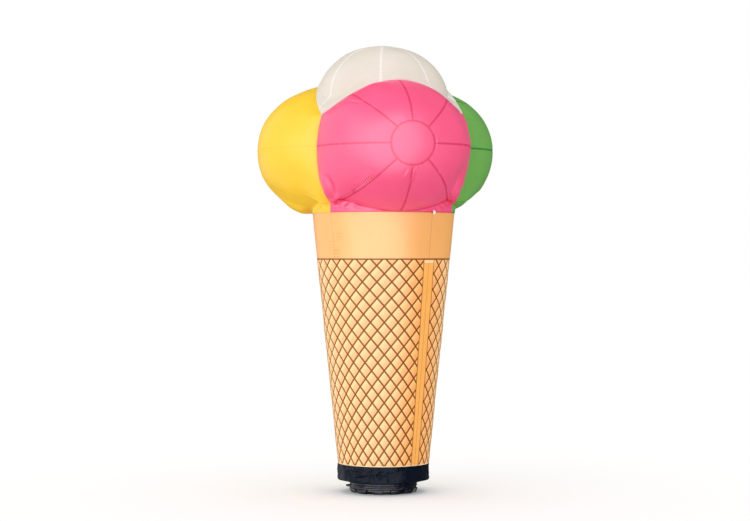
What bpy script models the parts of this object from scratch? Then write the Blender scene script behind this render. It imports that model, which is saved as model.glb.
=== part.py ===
"""Inflatable ice-cream cone, 3 m tall, standing on its fan.

Metres, +Z up.  The origin is on the cone's axis, on the surface that the fan stands on.
The front scoop points to -Y.  Headings are degrees round +Z, from -Y towards +X.
Every inflated piece is one filled solid of the shape that its sewn cloth takes.
"""

import bpy
import bmesh
import numpy as np

GAP = 0.0003                    # between two pieces that touch

# Fan
FAN_RADIUS = 0.2285
FAN_BODY_RADIUS = 0.221         # under the fan's top lip
FAN_TOP = 0.066
LIP_HEIGHT = 0.007
FOOT_HEIGHT = 0.030
FOOT_COUNT = 12
FOOT_GAP_DEPTH = 0.016          # from the feet's faces in to the plinth
FOOT_GAP_SHARE = 0.4            # of the pitch from one foot to the next
GLAND_HEADING = -103.0
GLAND_HEIGHT = 0.040
GLAND_RADIUS = 0.009
GLAND_REACH = 0.030             # out from the fan's body

# Black cloth round the fan
SKIRT_TOP = 0.0863
BAND_RADIUS = 0.3094

# Cone and collar, sewn from four panels
CONE_BOTTOM = 0.193
CONE_BOTTOM_RADIUS = 0.306
WAFFLE_TOP = 1.5685             # the print ends and the plain collar starts
COLLAR_TOP = 1.872
COLLAR_TOP_RADIUS = 0.4785
PANEL_SEAM_HEADINGS = (-60.0, 30.0, 120.0, 210.0)
PANEL_SEAM_DEPTH = 0.004
PANEL_STEPS = 12                # faces across a panel
PANEL_ROWS = 4                  # faces up a panel

# The three lower scoops: half sizes out along the pole, across it and upwards
SCOOPS = (                      # colour, heading of the pole, half size along the pole
    ("pink", 0.0, 0.519),
    ("yellow", -120.0, 0.536),
    ("green", 120.0, 0.507),
)
SCOOP_OFFSET = 0.337            # the ball's centre, out from the axis
SCOOP_HEIGHT = 2.302
SCOOP_HALF_WIDTH = 0.505
SCOOP_HALF_HEIGHT = 0.440
HALF_SECTOR = 60.0              # a lower scoop fills a third of the turn

# The top scoop, its pole straight up
TOP_HEIGHT = 2.6321
TOP_HALF_WIDTH = 0.448
TOP_HALF_HEIGHT = 0.3673
TOP_SEAM_HEADINGS = (-68.0, -15.0, 32.0, 75.3, 118.7, 162.0, 205.3, 248.7)

# Seam between the top scoop and a lower one, from its middle to its corner
TOP_SEAM_RADII = (0.430, 0.552)
TOP_SEAM_HEIGHTS = (2.735, 2.504)
TOP_SEAM_APEX = 2.345           # where the faces under the top scoop meet the axis

# Upright seam between two lower scoops, widest at its waist
SIDE_SEAM_WAIST = 2.29
SIDE_SEAM_RADIUS = 0.592
SIDE_SEAM_STEPS = 6

# Seam between a lower scoop and its neck
NECK_SEAM_MIDDLE = 1.876
NECK_SEAM_RISE = 0.110
NECK_SEAM_DROP = 0.050          # back down into the corner
NECK_SEAM_APEX = 1.900          # on the axis, inside

# How a scoop is sewn and how finely it is divided
GORE_ANGLE = 45.0
CAP_ANGLE = 16.5                # from the pole to the round end cap's seam
SEAM_FADE_ANGLE = 14.0          # a seam reaches its full depth this far past the cap
SEAM_DEPTH = 0.006              # how far a seam draws the cloth in
LOWER_SPREAD_ANGLE = 62.0       # past this the cloth spreads to reach the outer seams
TOP_SPREAD_ANGLE = 86.0
SHORTEST_SPREAD = 10.0
SEAM_STEP = 7.5                 # degrees of turn between points on a level seam
BALL_ROWS = 9                   # faces from the cap to the outer seams

# White folded tie loop, sewn flat over the top of the right-hand panel seam
LOOP_HEADING = 30.0
LOOP_WIDTH = 0.018
LOOP_HEIGHT = 0.024
LOOP_THICKNESS = 0.004

ROUND_SIDES = 48                # sides of a turned piece


def level(heading):
    """The level unit vector at a heading."""
    turn = np.radians(heading)
    return np.array([np.sin(turn), -np.cos(turn), 0.0])


def upright(height):
    """The vector from the origin up the axis to a height."""
    return np.array([0.0, 0.0, height])


def material(name, colour, roughness):
    """A plain, non-metal surface of one colour, given as linear red, green and blue."""
    made = bpy.data.materials.new(name)
    made.use_nodes = True
    shader = made.node_tree.nodes["Principled BSDF"]
    shader.inputs["Base Color"].default_value = (*colour, 1.0)
    shader.inputs["Roughness"].default_value = roughness
    shader.inputs["Metallic"].default_value = 0.0
    return made


def add_object(name, points, faces, surface, smooth_angle=40.0):
    """Makes a closed solid from points and faces, its faces turned outwards."""
    shape = bmesh.new()
    corners = [shape.verts.new(point) for point in points]
    for face in faces:
        shape.faces.new([corners[index] for index in face])
    bmesh.ops.recalc_face_normals(shape, faces=shape.faces)
    mesh = bpy.data.meshes.new(name)
    shape.to_mesh(mesh)
    shape.free()
    mesh.materials.append(surface)
    mesh.shade_smooth()
    mesh.set_sharp_from_angle(angle=np.radians(smooth_angle))
    made = bpy.data.objects.new(name, mesh)
    bpy.context.scene.collection.objects.link(made)
    return made


def tube_faces(rows, around):
    """Quads between equal rings of points that follow one another in one list."""
    found = []
    for row in range(rows - 1):
        for index in range(around):
            after = (index + 1) % around
            low = row * around
            high = low + around
            found.append((low + index, low + after, high + after, high + index))
    return found


def stacked(name, rings, surface, smooth_angle=40.0):
    """A solid skinned over equal rings of points, with flat ends."""
    around = len(rings[0])
    last = (len(rings) - 1) * around
    ends = [tuple(range(around)), tuple(range(last, last + around))]
    points = [point for ring in rings for point in ring]
    faces = tube_faces(len(rings), around) + ends
    return add_object(name, points, faces, surface, smooth_angle)


def turned(name, profile, surface):
    """A solid turned round the axis from (radius, height) points, bottom to top."""
    headings = np.arange(ROUND_SIDES) * 360.0 / ROUND_SIDES
    rings = [[level(turn) * radius + upright(height) for turn in headings] for radius, height in profile]
    return stacked(name, rings, surface)


def seam_valley(angle, seams):
    """1 on a seam, falling as 1 - sin to 0 midway to the next seam."""
    ahead = min((seam - angle) % 360.0 for seam in seams)
    behind = min((angle - seam) % 360.0 for seam in seams)
    if ahead + behind == 0.0:
        return 1.0
    return 1.0 - np.sin(np.pi * ahead / (ahead + behind))


def fan(surface):
    """The round fan: a plinth cut into shallow feet all round, and a drum with a lip on top."""
    pitch = 360.0 / FOOT_COUNT
    plinth_radius = FAN_RADIUS - FOOT_GAP_DEPTH
    rings = []
    for height in (0.0, FOOT_HEIGHT):
        ring = []
        for foot in range(FOOT_COUNT):
            start = GLAND_HEADING + pitch * foot
            for share in (0.0, 0.5, 1.0):
                heading = start + pitch * FOOT_GAP_SHARE * share
                ring.append(level(heading) * plinth_radius + upright(height))
            for share in (0.05, 0.5, 0.95):
                heading = start + pitch * (FOOT_GAP_SHARE + (1.0 - FOOT_GAP_SHARE) * share)
                ring.append(level(heading) * FAN_RADIUS + upright(height))
        rings.append(ring)
    stacked("fan_plinth", rings, surface, smooth_angle=20.0)

    lip_bottom = FAN_TOP - LIP_HEIGHT
    drum = (
        (FAN_BODY_RADIUS, FOOT_HEIGHT + GAP),
        (FAN_BODY_RADIUS, lip_bottom - 0.002),
        (FAN_RADIUS, lip_bottom),
        (FAN_RADIUS, FAN_TOP),
    )
    turned("fan_drum", drum, surface)


def cable_gland(surface):
    """The round gland, empty of its cord, that stands out level from the fan's side."""
    out = level(GLAND_HEADING)
    side = level(GLAND_HEADING + 90.0)
    turns = np.arange(16) * 2 * np.pi / 16
    profile = (                 # radius as a share of the gland's, reach as a share of its length
        (1.0, 0.0),
        (1.0, 0.55),
        (0.72, 0.62),
        (0.72, 1.0),
    )
    rings = []
    for width, length in profile:
        middle = out * (FAN_BODY_RADIUS + GAP + GLAND_REACH * length) + upright(GLAND_HEIGHT)
        radius = GLAND_RADIUS * width
        rings.append([middle + (side * np.cos(turn) + upright(np.sin(turn))) * radius for turn in turns])
    stacked("cable_gland", rings, surface)


def black_cloth(surface):
    """The band sewn under the cone, and the skirt that gathers from it onto the fan."""
    band = (
        (BAND_RADIUS - 0.002, SKIRT_TOP + GAP),
        (BAND_RADIUS, SKIRT_TOP + 0.010),
        (BAND_RADIUS, CONE_BOTTOM - 0.012),
        (BAND_RADIUS - 0.003, CONE_BOTTOM - GAP),
    )
    turned("base_band", band, surface)
    skirt = (
        (FAN_RADIUS + 0.002, FAN_TOP + GAP),
        (FAN_RADIUS + 0.009, FAN_TOP + 0.0045),
        (BAND_RADIUS - 0.030, SKIRT_TOP - 0.009),
        (BAND_RADIUS - 0.003, SKIRT_TOP),
    )
    turned("base_skirt", skirt, surface)


def panelled_taper(name, bottom, top, surface):
    """A filled length of the cone: four panels, drawn in along the seam between each two."""
    headings = []
    for seam in PANEL_SEAM_HEADINGS:
        headings += [seam + 90.0 * step / PANEL_STEPS for step in range(PANEL_STEPS)]
    rings = []
    for row in range(PANEL_ROWS + 1):
        height = bottom + (top - bottom) * row / PANEL_ROWS
        share = (height - CONE_BOTTOM) / (COLLAR_TOP - CONE_BOTTOM)
        radius = CONE_BOTTOM_RADIUS + (COLLAR_TOP_RADIUS - CONE_BOTTOM_RADIUS) * share
        ring = []
        for heading in headings:
            drawn_in = PANEL_SEAM_DEPTH * seam_valley(heading, PANEL_SEAM_HEADINGS)
            ring.append(level(heading) * (radius - drawn_in) + upright(height))
        rings.append(ring)
    return stacked(name, rings, surface)


def seam_turns():
    """Turns away from a lower scoop's heading at which its level seams have points."""
    return np.arange(-HALF_SECTOR, HALF_SECTOR + SEAM_STEP / 2, SEAM_STEP)


def top_seam(heading, turn):
    """A point where the top scoop is sewn to the lower scoop at heading, turn degrees round.

    Radius and height both change with the square of turn / 60.
    """
    share = (turn / HALF_SECTOR) ** 2
    radius = TOP_SEAM_RADII[0] + (TOP_SEAM_RADII[1] - TOP_SEAM_RADII[0]) * share
    height = TOP_SEAM_HEIGHTS[0] + (TOP_SEAM_HEIGHTS[1] - TOP_SEAM_HEIGHTS[0]) * share
    return level(heading + turn) * radius + upright(height)


def neck_seam(heading, turn):
    """A point where a lower scoop is sewn to its neck: it rises, then drops into the corner."""
    share = (turn / HALF_SECTOR) ** 2
    height = NECK_SEAM_MIDDLE + NECK_SEAM_RISE * share - NECK_SEAM_DROP * share**5
    return level(heading + turn) * COLLAR_TOP_RADIUS + upright(height)


def side_seam(heading, share):
    """A point where two lower scoops are sewn together: share runs from 0, bottom, to 1, top.

    The radius falls off from the waist by a power of the height, faster below it than above.
    """
    bottom = NECK_SEAM_MIDDLE + NECK_SEAM_RISE - NECK_SEAM_DROP
    top = TOP_SEAM_HEIGHTS[1]
    height = bottom + (top - bottom) * share
    if height < SIDE_SEAM_WAIST:
        away = (SIDE_SEAM_WAIST - height) / (SIDE_SEAM_WAIST - bottom)
        radius = SIDE_SEAM_RADIUS - (SIDE_SEAM_RADIUS - COLLAR_TOP_RADIUS) * away**2.8
    else:
        away = (height - SIDE_SEAM_WAIST) / (top - SIDE_SEAM_WAIST)
        radius = SIDE_SEAM_RADIUS - (SIDE_SEAM_RADIUS - TOP_SEAM_RADII[1]) * away**2
    return level(heading) * radius + upright(height)


def with_gore_points(outline, middle, side, up):
    """Adds a point to a closed outline, on the straight line between two, at every gore seam.

    Returns the points and their angles round the pole, from up towards side.
    """
    points = []
    angles = []
    for first, second in zip(outline, np.roll(outline, -1, axis=0)):
        ends = []
        for point in (first, second):
            away = point - middle
            ends.append(np.degrees(np.arctan2(away @ side, away @ up)) % 360.0)
        if ends[1] < ends[0]:
            ends[1] += 360.0
        points.append(first)
        angles.append(ends[0])
        seam = (np.floor(ends[0] / GORE_ANGLE) + 1) * GORE_ANGLE
        if ends[0] + 1e-6 < seam < ends[1] - 1e-6:
            turn = np.radians(seam)
            across = side * np.cos(turn) - up * np.sin(turn)
            before = (first - middle) @ across
            after = (second - middle) @ across
            points.append(first + (second - first) * before / (before - after))
            angles.append(seam)
    return points, angles


def ball_rows(middle, pole, side, up, halves, rim, angles, seams, spread_from):
    """Rings of points from the end cap out to the rim, where the ball meets other pieces.

    A point t from the pole and at the angle a round it is
    middle + cos(t) pole + sin(t) size(a) (cos(a) up + sin(a) side), less the seam's valley.
    The size is the ball's own near the pole, and at the rim it is the one that reaches the rim.
    """
    rows = [[] for ring in range(BALL_ROWS + 2)]
    for point, angle in zip(rim, angles):
        turn = np.radians(angle)
        ahead = side * np.sin(turn) + up * np.cos(turn)
        own_size = 1.0 / np.hypot(np.sin(turn) / halves[1], np.cos(turn) / halves[2])
        end = np.degrees(np.arccos((point - middle) @ pole / halves[0]))
        rim_size = (point - middle) @ ahead / np.sin(np.radians(end))
        start = min(spread_from, end - SHORTEST_SPREAD)
        latitudes = [CAP_ANGLE / 2] + list(np.linspace(CAP_ANGLE, end, BALL_ROWS + 1))
        valley = SEAM_DEPTH * seam_valley(angle, seams)
        for row, latitude in enumerate(latitudes):
            spread = np.clip((latitude - start) / (end - start), 0.0, 1.0)
            size = own_size + (rim_size - own_size) * spread**2 * (3.0 - 2.0 * spread)
            fade = np.clip((latitude - CAP_ANGLE) / SEAM_FADE_ANGLE, 0.0, 1.0) * (1.0 - spread**2)
            out = np.sin(np.radians(latitude)) * size - valley * fade
            rows[row].append(middle + pole * halves[0] * np.cos(np.radians(latitude)) + ahead * out)
    return rows


def lower_scoop(colour, heading, half_depth, surface):
    """A lower scoop: a gored ball that fills its third of the turn, with flat faces inside."""
    out = level(heading)
    side = level(heading + 90.0)
    up = upright(1.0)
    middle = out * SCOOP_OFFSET + up * SCOOP_HEIGHT
    turns = seam_turns()
    shares = np.arange(1, SIDE_SEAM_STEPS) / SIDE_SEAM_STEPS
    top = [top_seam(heading, turn) for turn in turns]
    right = [side_seam(heading + HALF_SECTOR, share) for share in shares[::-1]]
    bottom = [neck_seam(heading, turn) for turn in turns[::-1]]
    left = [side_seam(heading - HALF_SECTOR, share) for share in shares]
    rim, angles = with_gore_points(np.array(top + right + bottom + left), middle, side, up)

    seams = [GORE_ANGLE * gore for gore in range(round(360.0 / GORE_ANGLE))]
    halves = (half_depth, SCOOP_HALF_WIDTH, SCOOP_HALF_HEIGHT)
    rows = ball_rows(middle, out, side, up, halves, rim, angles, seams, LOWER_SPREAD_ANGLE)
    around = len(rim)
    points = [point for row in rows for point in row]
    faces = tube_faces(len(rows), around)
    points += [middle + out * half_depth, upright(TOP_SEAM_APEX), upright(NECK_SEAM_APEX)]
    pole, apex, floor = range(len(points) - 3, len(points))
    faces += [(pole, index, (index + 1) % around) for index in range(around)]

    edge = (len(rows) - 1) * around
    corners = []
    for corner in (top[0], top[-1], bottom[0], bottom[-1]):
        corners.append(min(range(around), key=lambda index: np.linalg.norm(rim[index] - corner)))
    top_left, top_right, bottom_right, bottom_left = corners
    faces += fan_faces(apex, edge, top_left, top_right, around)
    faces += fan_faces(floor, edge, bottom_right, bottom_left, around)
    faces.append((floor, apex) + span(edge, top_right, bottom_right, around))
    faces.append((apex, floor) + span(edge, bottom_left, top_left, around))
    shift = out * GAP / 2 / np.sin(np.radians(HALF_SECTOR)) + upright(GAP)
    return add_object("scoop_" + colour, [point + shift for point in points], faces, surface)


def span(edge, first, last, around):
    """The rim's point numbers from first to last, going round."""
    count = (last - first) % around
    return tuple(edge + (first + step) % around for step in range(count + 1))


def fan_faces(centre, edge, first, last, around):
    """Triangles from one point to each stretch of the rim between first and last."""
    numbers = span(edge, first, last, around)
    return [(centre, after, before) for before, after in zip(numbers, numbers[1:])]


def top_scoop(surface):
    """The top scoop: a gored ball on its pole, spread at three corners between the lower scoops."""
    up = upright(1.0)
    middle = upright(TOP_HEIGHT)
    outline = []
    for colour, heading, half_depth in sorted(SCOOPS, key=lambda scoop: scoop[1]):
        outline += [(heading + turn, top_seam(heading, turn)) for turn in seam_turns()[:-1]]
    outline.sort(key=lambda pair: pair[0])
    rim = []
    angles = []
    for (turn, point), (next_turn, next_point) in zip(outline, outline[1:] + outline[:1]):
        rim.append(point)
        angles.append(turn)
        for seam in TOP_SEAM_HEADINGS:
            ahead = (seam - turn) % 360.0
            if 1e-6 < ahead < SEAM_STEP - 1e-6:
                across = level(seam + 90.0)
                before = point @ across
                after = next_point @ across
                rim.append(point + (next_point - point) * before / (before - after))
                angles.append(turn + ahead)
    halves = (TOP_HALF_HEIGHT, TOP_HALF_WIDTH, TOP_HALF_WIDTH)
    seams = TOP_SEAM_HEADINGS
    rows = ball_rows(middle, up, level(90.0), level(0.0), halves, rim, angles, seams, TOP_SPREAD_ANGLE)
    around = len(rim)
    points = [point for row in rows for point in row]
    points += [middle + up * TOP_HALF_HEIGHT, upright(TOP_SEAM_APEX)]
    pole, apex = range(len(points) - 2, len(points))
    edge = (len(rows) - 1) * around
    faces = tube_faces(len(rows), around)
    for index in range(around):
        after = (index + 1) % around
        faces.append((pole, index, after))
        faces.append((apex, edge + after, edge + index))
    return add_object("scoop_white", [point + upright(2 * GAP) for point in points], faces, surface)


def neck(colour, heading, surface):
    """The cloth between a lower scoop and the collar: a third of a low drum."""
    turns = seam_turns()
    count = len(turns)
    bottom = COLLAR_TOP + GAP
    points = [level(heading + turn) * COLLAR_TOP_RADIUS + upright(bottom) for turn in turns]
    points += [neck_seam(heading, turn) for turn in turns]
    points += [upright(bottom), upright(NECK_SEAM_APEX)]
    low, high = 2 * count, 2 * count + 1
    faces = []
    for index in range(count - 1):
        faces.append((index, index + 1, count + index + 1, count + index))
        faces.append((high, count + index, count + index + 1))
        faces.append((low, index + 1, index))
    faces.append((low, 0, count, high))
    faces.append((high, 2 * count - 1, count - 1, low))
    shift = level(heading) * GAP / 2 / np.sin(np.radians(HALF_SECTOR))
    return add_object("neck_" + colour, [point + shift for point in points], faces, surface)


def tie_loop(surface):
    """The folded loop: a small flat tab across the seam between the collar and the neck."""
    out = level(LOOP_HEADING)
    side = level(LOOP_HEADING + 90.0)
    seat = COLLAR_TOP_RADIUS + GAP
    rings = []
    for height in (COLLAR_TOP - LOOP_HEIGHT / 2, COLLAR_TOP + LOOP_HEIGHT / 2):
        ring = []
        for sign, depth in ((-1, 0.0), (1, 0.0), (1, LOOP_THICKNESS), (-1, LOOP_THICKNESS)):
            ring.append(side * (sign * LOOP_WIDTH / 2) + out * (seat + depth) + upright(height))
        rings.append(ring)
    made = stacked("tie_loop", rings, surface)
    rounding = made.modifiers.new("rounded edges", "BEVEL")
    rounding.width = 0.0012
    rounding.segments = 2
    return made


def build():
    """Makes every piece, from the fan up."""
    black_plastic = material("black_plastic", (0.030, 0.030, 0.036), 0.45)
    black_cloth_surface = material("black_nylon_cloth", (0.022, 0.025, 0.030), 0.70)
    orange = material("orange_nylon_cloth", (0.95, 0.55, 0.28), 0.55)
    waffle = material("waffle_print_cloth", (0.90, 0.50, 0.22), 0.55)
    white = material("white_nylon_cloth", (0.78, 0.75, 0.72), 0.50)
    colours = {
        "pink": material("pink_nylon_cloth", (0.87, 0.09, 0.25), 0.50),
        "yellow": material("yellow_nylon_cloth", (0.85, 0.65, 0.06), 0.50),
        "green": material("green_nylon_cloth", (0.06, 0.35, 0.09), 0.50),
    }
    fan(black_plastic)
    cable_gland(black_plastic)
    black_cloth(black_cloth_surface)
    panelled_taper("cone", CONE_BOTTOM, WAFFLE_TOP - GAP / 2, waffle)
    panelled_taper("collar", WAFFLE_TOP + GAP / 2, COLLAR_TOP, orange)
    for colour, heading, half_depth in SCOOPS:
        neck(colour, heading, colours[colour])
        lower_scoop(colour, heading, half_depth, colours[colour])
    top_scoop(white)
    tie_loop(white)


for leftover in list(bpy.data.objects):
    bpy.data.objects.remove(leftover, do_unlink=True)
build()
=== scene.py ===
"""Inflatable ice-cream cone, 3 m tall, on its fan.

Metres, +Z up, the origin on the cone's axis at the floor.  Headings are degrees round +Z,
from -Y towards +X: the pink scoop points to 0, the green one to 120, the yellow one to -120.
"""

import bpy
import numpy as np
from mathutils import Matrix


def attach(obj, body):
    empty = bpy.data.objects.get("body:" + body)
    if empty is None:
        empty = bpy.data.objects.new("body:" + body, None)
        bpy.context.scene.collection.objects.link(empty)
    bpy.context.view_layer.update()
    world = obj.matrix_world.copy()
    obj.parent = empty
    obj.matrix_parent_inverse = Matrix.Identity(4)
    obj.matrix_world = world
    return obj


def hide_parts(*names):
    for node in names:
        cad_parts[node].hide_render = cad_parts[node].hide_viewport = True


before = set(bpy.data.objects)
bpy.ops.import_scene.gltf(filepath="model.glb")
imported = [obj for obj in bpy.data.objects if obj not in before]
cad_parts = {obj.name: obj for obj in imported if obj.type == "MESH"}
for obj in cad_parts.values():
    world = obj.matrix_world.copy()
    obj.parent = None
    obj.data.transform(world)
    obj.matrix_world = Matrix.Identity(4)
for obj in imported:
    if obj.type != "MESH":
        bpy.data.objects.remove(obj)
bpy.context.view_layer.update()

# ------------------------------------------------------------------------------------------
# Fan.  A round electric fan that stands on the floor and blows up into the cloth.  Its plinth
# and drum are moulded in black ABS: the plinth is cut into feet that let the air in, and the
# drum has upright ribs, a raised hoop and a rolled lip that the cloth closes on.

GAP = 0.0003                    # between two pieces that touch
FAN_RADIUS = 0.2285
FAN_BODY_RADIUS = 0.221
DRUM_BOTTOM = 0.0303            # on the feet
LIP_TOP = 0.068
FOOT_HEIGHT = 0.030
FOOT_COUNT = 12
FOOT_GAP_DEPTH = 0.016
FOOT_GAP_SHARE = 0.4            # of the pitch from one foot to the next
FOOT_CORNER = 0.03              # a foot's rounded upright edge, as a share of the pitch
GLAND_HEADING = -103.0          # the first foot gap starts here
RIB_COUNT = 90
RIB_DEPTH = 0.0014
PLASTIC_GRAIN = 0.002           # the mould's leather grain, coarser than real so that it shows


def linear(colour):
    """sRGB hex to linear: c / 12.92 below 0.04045, else ((c + 0.055) / 1.055) to the power 2.4."""
    parts = np.array([int(colour[place:place + 2], 16) for place in (1, 3, 5)]) / 255.0
    bent = np.where(parts < 0.04045, parts / 12.92, ((parts + 0.055) / 1.055) ** 2.4)
    return (*bent, 1.0)


def level(heading):
    """The level unit vectors (sin h, -cos h, 0) at headings h in degrees."""
    turn = np.radians(heading)
    return np.stack([np.sin(turn), -np.cos(turn), 0.0 * turn], axis=-1)


def upright(height):
    """Vectors straight up from the origin to the heights."""
    height = np.asarray(height, float)
    return np.stack([0.0 * height, 0.0 * height, height], axis=-1)


def points_at(heading, radius, height):
    """Points at headings in degrees, distances from the axis and heights."""
    return level(heading) * np.asarray(radius)[..., None] + upright(height)


def smooth(low, high, value):
    """0 below low, 1 above high, and 3 s^2 - 2 s^3 of the share s of the way between them."""
    share = np.clip((value - low) / (high - low), 0.0, 1.0)
    return share * share * (3.0 - 2.0 * share)


def within(start, full, waning, end, value):
    """1 between full and waning, 0 before start and past end, and smooth on the way."""
    return smooth(start, full, value) * (1.0 - smooth(waning, end, value))


def skin(name, grid, start=None, end=None, numbers=None, maps=None, crease=50.0):
    """A closed mesh over a grid of points, rows by columns, whose last column joins its first.

    start and end are points that close the first and last row as fans of triangles; without
    them the last row joins the first.  numbers are named values at the grid's points.  maps are
    named UV maps, each four grids: u and v of every quad's left corners, then of its right ones.
    Faces turn outwards: they are reversed where the volume, the sum of p0 . (p1 x p2), is negative.
    """
    rows, columns = grid.shape[:2]
    here = np.arange(rows * columns).reshape(rows, columns)
    after = np.roll(here, -1, axis=1)
    stop = rows if start is None else rows - 1
    above, above_after = (np.roll(one, -1, axis=0)[:stop] for one in (here, after))
    quads = np.stack([here[:stop], after[:stop], above_after, above], axis=-1).reshape(-1, 4)
    points = grid.reshape(-1, 3)
    fans = []
    if start is not None:
        points = np.vstack([points, start, end])
        middle = np.full(columns, rows * columns)
        fans = [np.stack([middle, after[0], here[0]], -1),
                np.stack([middle + 1, here[-1], after[-1]], -1)]
    split = np.vstack([quads[:, (0, 1, 2)], quads[:, (0, 2, 3)]] + fans)
    corner = points[split]
    volume = np.einsum("ij,ij->", corner[:, 0], np.cross(corner[:, 1], corner[:, 2]))
    turn = slice(None, None, -1 if volume < 0 else 1)
    faces = quads[:, turn].tolist()
    for fan in fans:
        faces += fan[:, turn].tolist()
    mesh = bpy.data.meshes.new(name)
    mesh.from_pydata(points.tolist(), [], faces)
    for title, values in (numbers or {}).items():
        whole = np.full(len(points), values.mean(), np.float32)
        whole[:rows * columns] = values.ravel()
        mesh.attributes.new(title, "FLOAT", "POINT").data.foreach_set("value", whole)
    for title, (left_u, left_v, right_u, right_v) in (maps or {}).items():
        left = np.stack([left_u, left_v], -1)
        right = np.stack([right_u, right_v], -1)
        left_above, right_above = (np.roll(one, -1, axis=0)[:stop] for one in (left, right))
        corners = np.stack([left[:stop], right[:stop], right_above, left_above], axis=2)
        flat = np.zeros((len(mesh.loops), 2), np.float32)
        flat[:corners.size // 2] = corners.reshape(-1, 4, 2)[:, turn].reshape(-1, 2)
        mesh.uv_layers.new(name=title).data.foreach_set("uv", flat.ravel())
    mesh.shade_smooth()
    mesh.set_sharp_from_angle(angle=np.radians(crease))
    piece = bpy.data.objects.new(name, mesh)
    bpy.context.scene.collection.objects.link(piece)
    return piece


def add_node(surface, kind, settings=None):
    """One shader node, with its properties by name and its inputs by name or number.

    An input takes a value, or the output of another node that it is linked to.
    """
    made = surface.node_tree.nodes.new("ShaderNode" + kind)
    for key, value in (settings or {}).items():
        if isinstance(value, bpy.types.NodeSocket):
            surface.node_tree.links.new(value, made.inputs[key])
        elif isinstance(key, str) and hasattr(made, key):
            setattr(made, key, value)
        else:
            made.inputs[key].default_value = value
    return made


def new_material(name, base, relief, roughness, gloss=0.5):
    """A material whose Principled shader takes its base colour and its bumps from functions."""
    surface = bpy.data.materials.new(name)
    surface.use_nodes = True
    shader = surface.node_tree.nodes["Principled BSDF"]
    shader.inputs["Roughness"].default_value = roughness
    shader.inputs["IOR"].default_value = 1.53
    shader.inputs["Specular IOR Level"].default_value = gloss
    place = add_node(surface, "TexCoord").outputs["Object"]
    surface.node_tree.links.new(base(surface, place), shader.inputs["Base Color"])
    surface.node_tree.links.new(relief(surface, place), shader.inputs["Normal"])
    return surface


def fit(piece, surface, node):
    """Gives a piece its material and its body, and hides the CAD node that it replaces."""
    piece.data.materials.append(surface)
    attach(piece, "root")
    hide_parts(node)


def moulded_colour_and_gap_shade(surface, place):
    """Black that is greyer where the ground and the cloth have scuffed it, in small blotches.

    Where the attribute inside is 1, in the gaps between the feet, it is painted shade: near-black, as dark as
    the hollow behind the feet.
    """
    scuffs = add_node(surface, "TexNoise", {"Scale": 35.0, "Detail": 6.0, "Roughness": 0.7,
                      "Vector": place}).outputs["Fac"]
    worn = add_node(surface, "MapRange", {"From Min": 0.5, "From Max": 0.75, "To Max": 0.6,
                    "Value": scuffs}).outputs["Result"]
    moulded = add_node(surface, "Mix", {"data_type": "RGBA", 6: linear("#0D111E"), 7: linear("#5E6496"),
                       0: worn}).outputs[2]
    inside = add_node(surface, "Attribute", {"attribute_name": "inside"}).outputs["Fac"]
    # painted shade: near-black in the gaps between the feet
    return add_node(surface, "Mix", {"data_type": "RGBA", 7: linear("#040406"),
                    0: inside, 6: moulded}).outputs[2]


def moulded_grain(surface, place):
    """The mould's fine leather grain: small rounded cells."""
    cells = add_node(surface, "TexVoronoi", {"Scale": 1.0 / PLASTIC_GRAIN, "Vector": place})
    return add_node(surface, "Bump", {"Strength": 0.25, "Distance": 0.0004,
                    "Height": cells.outputs["Distance"]}).outputs["Normal"]


# Injection-moulded ABS: smooth and satin, so each edge that faces the light is a soft grey line.
abs_plastic = new_material("moulded_black_abs", moulded_colour_and_gap_shade, moulded_grain, roughness=0.22, gloss=0.42)

headings = np.arange(0.0, 360.0, 0.5)
foot_place = ((headings - GLAND_HEADING) * FOOT_COUNT / 360.0) % 1.0
foot = within(FOOT_GAP_SHARE, FOOT_GAP_SHARE + FOOT_CORNER, 1.0 - FOOT_CORNER, 1.0, foot_place)
plinth_profile = np.array([     # height, and how far in from the foot's face
    (0.0, 0.0100), (0.0006, 0.0085), (0.0018, 0.0075), (0.0090, 0.0040), (0.0096, 0.0050), (0.0112, 0.0044),
    (0.0118, 0.0028), (0.0170, 0.0004), (0.0180, 0.0), (0.0265, 0.0), (0.0284, 0.0006), (0.0294, 0.0018),
    (FOOT_HEIGHT, 0.0038),
])
radius = FAN_RADIUS - FOOT_GAP_DEPTH * (1.0 - foot) - plinth_profile[:, 1:]
grid = points_at(headings, radius, plinth_profile[:, :1])
# inside is 1 in the gaps between the feet, where the material paints shade
fan_feet = skin("fan_feet", grid, (0, 0, 0), (0, 0, FOOT_HEIGHT), crease=35.0,
                numbers={"inside": 1.0 - foot + 0.0 * radius})
fit(fan_feet, abs_plastic, "fan_plinth")

drum_profile = np.array([       # height, radius, and how much of the ribs shows
    (DRUM_BOTTOM, 0.2170, 0.0), (0.0307, 0.2195, 0.3), (0.0315, FAN_BODY_RADIUS, 1.0),
    (0.0385, FAN_BODY_RADIUS, 1.0), (0.0420, 0.2240, 0.0), (0.0440, 0.2268, 0.0), (0.0448, 0.2275, 0.0),
    (0.0500, 0.2275, 0.0), (0.0508, 0.2268, 0.0), (0.0545, 0.2228, 0.0), (0.0560, 0.2228, 0.0),
    (0.0592, 0.2266, 0.0), (0.0602, 0.2281, 0.0), (0.0610, FAN_RADIUS, 0.0), (0.0670, FAN_RADIUS, 0.0),
    (0.0677, 0.2278, 0.0), (LIP_TOP, 0.2255, 0.0),
])
ribs = 0.5 + 0.5 * np.cos(np.radians(headings) * RIB_COUNT)
radius = drum_profile[:, 1:2] - RIB_DEPTH * ribs * drum_profile[:, 2:]
grid = points_at(headings, radius, drum_profile[:, :1])
fan_housing = skin("fan_housing", grid, (0, 0, DRUM_BOTTOM), (0, 0, LIP_TOP), crease=35.0)
fit(fan_housing, abs_plastic, "fan_drum")

# ------------------------------------------------------------------------------------------
# Gland.  The round knob on the fan's left side where the mains lead would come out: a knurled
# nut and a tapered sleeve, moulded in the same black ABS and screwed into the drum.

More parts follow.
